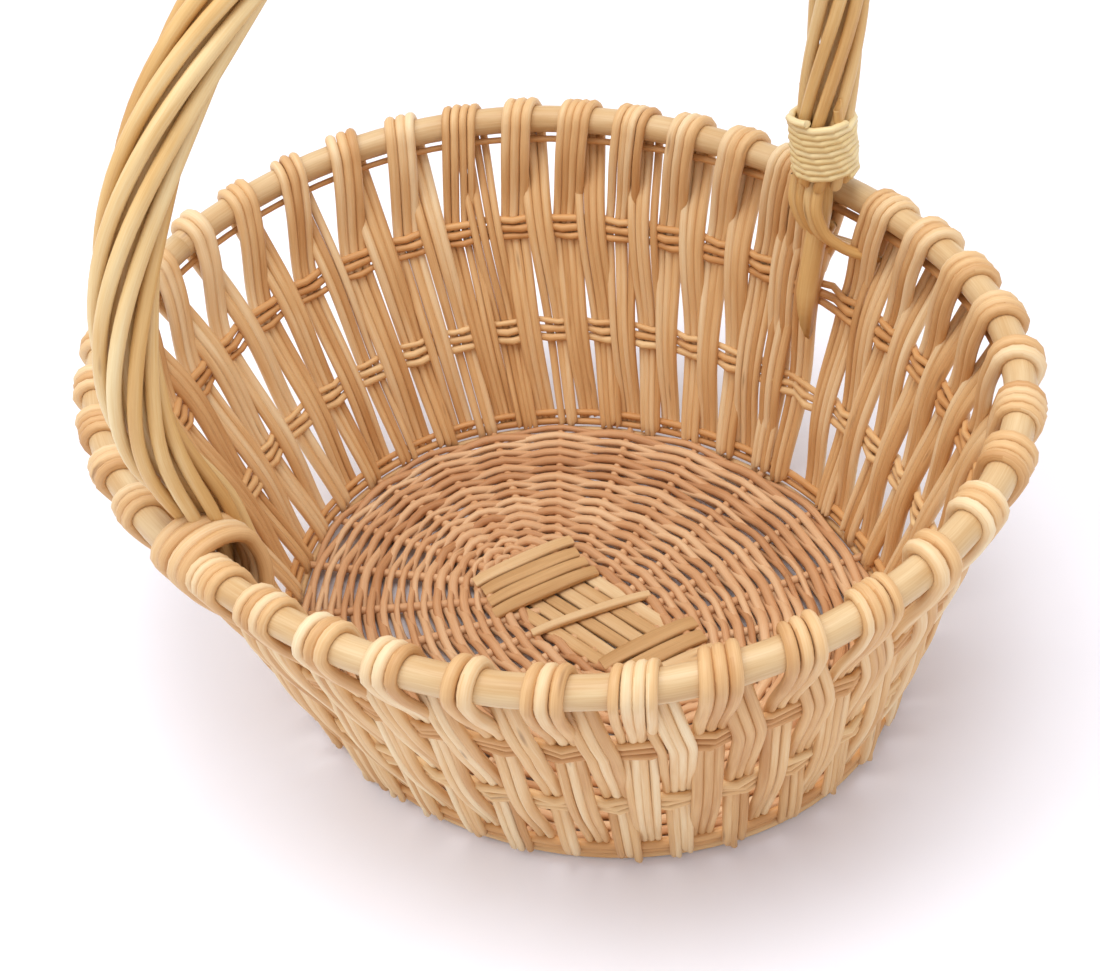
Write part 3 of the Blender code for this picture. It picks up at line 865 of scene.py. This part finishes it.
tucked = []
for place in range(4):
    start = -0.0078 + 0.0042 * place
    tucked.append(foot_rod([(start, 0.0150, 0.0130), (start + 0.0008, 0.0190, 0.0030),
                            (start + 0.0035, 0.0175, -0.0070), (start + 0.0085, 0.0115, -0.0140),
                            (start + 0.0140, 0.0030, -0.0190)], 0.0022))
wedges = [foot_rod([(-0.002, 0.010, -0.006), (-0.007, 0.009, -0.016), (-0.013, 0.006, -0.026)], 0.0017),
          foot_rod([(0.000, 0.007, -0.010), (-0.006, 0.008, -0.022), (-0.011, 0.006, -0.034)], 0.0019),
          foot_rod([(-0.004, 0.012, -0.003), (-0.010, 0.009, -0.009), (-0.013, 0.007, -0.013)], 0.0015),
          foot_rod([(-0.001, 0.006, -0.020), (-0.007, 0.006, -0.030), (-0.012, 0.004, -0.039)], 0.0016)]
stub_low, stub_high = lash_low.z - RIM_Z + 0.003, lash_high.z - RIM_Z + 0.006
stub_in = (BACK - lash_middle).dot(in_plane(1, 0))
stubs = [foot_rod([(side * 0.0088, stub_in, stub_low), (side * 0.0090, stub_in, stub_high)], 0.0019)
         for side in (-1, 1)]
finish_piece(tucked + wedges + stubs, "back_foot_rods", HANDLE_WILLOW, [])
print("short rods at the back foot:", len(tucked + wedges + stubs))

# %% [markdown]
# ## The floor
# The basket stands on plain white paper. One large plane is enough, as it shows only
# the soft shadow round the foot.

# %% The floor
bpy.ops.mesh.primitive_plane_add(size=8, location=(0, 0, 0))
floor = bpy.context.object
floor.name = "floor"
paper = bpy.data.materials.new("white_paper")
paper.use_nodes = True
paper.node_tree.nodes["Principled BSDF"].inputs["Base Color"].default_value = colour("#F4F3F8")
paper.node_tree.nodes["Principled BSDF"].inputs["Roughness"].default_value = 0.9
floor.data.materials.append(paper)
print("floor of", paper.name, "at z = 0")

# %% [markdown]
# ## The light
# Pale light comes from all round, as in a room with white walls. A lamp above and a
# weaker one at the front left give the rods their shape, and both are wide, so that
# their shadows have soft edges.

# %% The light
world = bpy.data.worlds.new("soft_room")
bpy.context.scene.world = world
world.use_nodes = True
world.node_tree.nodes["Background"].inputs["Color"].default_value = colour("#F6F8FF")
world.node_tree.nodes["Background"].inputs["Strength"].default_value = 0.90


def area_light(name, place, size, power, aim=(0, 0, 0.05)):
    bpy.ops.object.light_add(type="AREA", location=place)
    light = bpy.context.object
    light.name = name
    light.data.shape = "DISK"
    light.data.size = size
    light.data.energy = power
    light.rotation_euler = (Vector(aim) - Vector(place)).to_track_quat("-Z", "Y").to_euler()
    return light


area_light("front_lamp", (-0.4, -0.7, 1.6), 1.0, 8)
area_light("top_lamp", (0.25, 0.0, 1.8), 0.9, 13)

# %% [markdown]
# ## The camera
# It looks down into the basket from the front right and leans a little to one side. Pan,
# tilt and roll are turned into the three directions of its frame.

# %% The camera
CAMERA_PLACE = (0.4351, -0.3169, 0.5294)
CAMERA_PAN = -0.947
CAMERA_TILT = 0.707
CAMERA_ROLL = -0.197
bpy.ops.object.camera_add(location=CAMERA_PLACE)
camera = bpy.context.object
ahead = Vector((math.sin(CAMERA_PAN) * math.cos(CAMERA_TILT),
                math.cos(CAMERA_PAN) * math.cos(CAMERA_TILT), -math.sin(CAMERA_TILT)))
level = ahead.cross(Vector((0, 0, 1))).normalized()
upward = level.cross(ahead)
right = level * math.cos(CAMERA_ROLL) + upward * math.sin(CAMERA_ROLL)
up = upward * math.cos(CAMERA_ROLL) - level * math.sin(CAMERA_ROLL)
camera.rotation_euler = Matrix((right, up, -ahead)).transposed().to_euler()
camera.data.sensor_width = 36
camera.data.lens = 65.45
camera.data.clip_start = 0.01
bpy.context.scene.camera = camera
bpy.context.scene.view_settings.view_transform = "Standard"
print("camera is", round(Vector(CAMERA_PLACE).length, 2), "m from the middle of the base")
